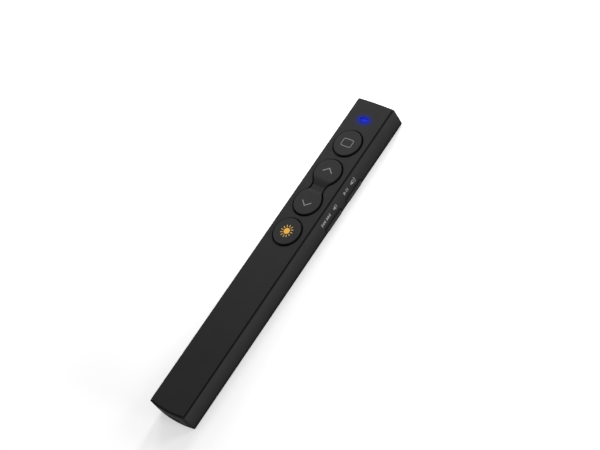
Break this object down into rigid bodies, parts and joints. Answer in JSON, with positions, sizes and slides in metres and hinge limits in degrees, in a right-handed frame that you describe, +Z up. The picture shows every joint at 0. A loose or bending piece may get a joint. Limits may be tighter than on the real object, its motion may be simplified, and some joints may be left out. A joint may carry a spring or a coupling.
{
  "type": "wireless presenter with laser pointer",
  "caption": "Slim flat handheld presenter: round screen and laser keys, tilting page rocker, side volume and skip keys, laser in its front end, USB receiver in its tail.",
  "frame": {"origin": "centre of the flat underside", "axes": "+Y along the body towards the end where the beam leaves, +X towards the side with the two side keys, +Z up through the top face"},
  "size_m": [0.0195, 0.145, 0.011],
  "materials": {
    "case": "fine matte texture",
    "key": "soft matte",
    "light_pipe": "milky",
    "red_window": "clear dark red",
    "lens": "clear",
    "steel": "drawn and plated",
    "brass": "turned",
    "gold": "gold plated",
    "board": "solder mask",
    "chip": "moulded",
    "plunger": "moulded",
    "tan_parts": "ceramic",
    "cell": "foil pouch",
    "foam": "foam tape",
    "lead": "insulated wire",
    "socket_black": "moulded",
    "white_plastic": "moulded"
  },
  "bodies": {
    "casing": {"top_cover": "case", "lower_housing": "case", "led_window": "light_pipe", "laser_window": "red_window", "rocker_pin": "steel", "main_board": "board", "board_screws": "steel", "menu_switch": "chip", "page_up_switch": "chip", "page_down_switch": "chip", "laser_switch": "chip", "front_side_switch": "chip", "rear_side_switch": "chip", "status_led": "white_plastic", "radio_chip": "chip", "clock_crystal": "steel", "charge_chip": "chip", "small_parts": "tan_parts", "laser_barrel": "brass", "laser_lens": "lens", "lens_ring": "steel", "laser_diode": "gold", "battery_cell": "cell", "battery_pad": "foam", "battery_leads": "lead", "charge_socket": "steel", "charge_tongue": "socket_black", "power_switch": "steel"},
    "menu_key": {"menu_button": "key", "menu_plunger": "plunger"},
    "page_key": {"page_rocker": "key", "page_up_plunger": "plunger", "page_down_plunger": "plunger"},
    "laser_key": {"laser_button": "key", "laser_plunger": "plunger"},
    "front_side_press_key": {"front_side_key": "key", "front_side_plunger": "plunger"},
    "rear_side_press_key": {"rear_side_key": "key", "rear_side_plunger": "plunger"},
    "power_slide_knob": {"power_slider": "key", "power_lever": "socket_black"},
    "receiver": {"receiver_grip": "socket_black", "receiver_plug": "steel", "receiver_tongue": "white_plastic", "receiver_contacts": "gold"}
  },
  "joints": [
    {"name": "menu_press", "type": "slide", "parent": "casing", "child": "menu_key", "axis": [0, 0, -1], "range_m": [0, 0.0003], "stiffness_N_per_m": 2000},
    {"name": "page_tilt", "type": "hinge", "parent": "casing", "child": "page_key", "pos_m": [0, 0.0307, 0.0079], "axis": [1, 0, 0], "range_deg": [-2, 2], "stiffness_Nm_per_rad": 0.1},
    {"name": "laser_press", "type": "slide", "parent": "casing", "child": "laser_key", "axis": [0, 0, -1], "range_m": [0, 0.0003], "stiffness_N_per_m": 2000},
    {"name": "front_side_press", "type": "slide", "parent": "casing", "child": "front_side_press_key", "axis": [-1, 0, 0], "range_m": [0, 0.0003], "stiffness_N_per_m": 2000},
    {"name": "rear_side_press", "type": "slide", "parent": "casing", "child": "rear_side_press_key", "axis": [-1, 0, 0], "range_m": [0, 0.0003], "stiffness_N_per_m": 2000},
    {"name": "power_slide", "type": "slide", "parent": "casing", "child": "power_slide_knob", "axis": [0, -1, 0], "range_m": [0, 0.002]},
    {"name": "receiver_slide", "type": "slide", "parent": "casing", "child": "receiver", "axis": [0, -1, 0], "range_m": [0, 0.02]}
  ]
}
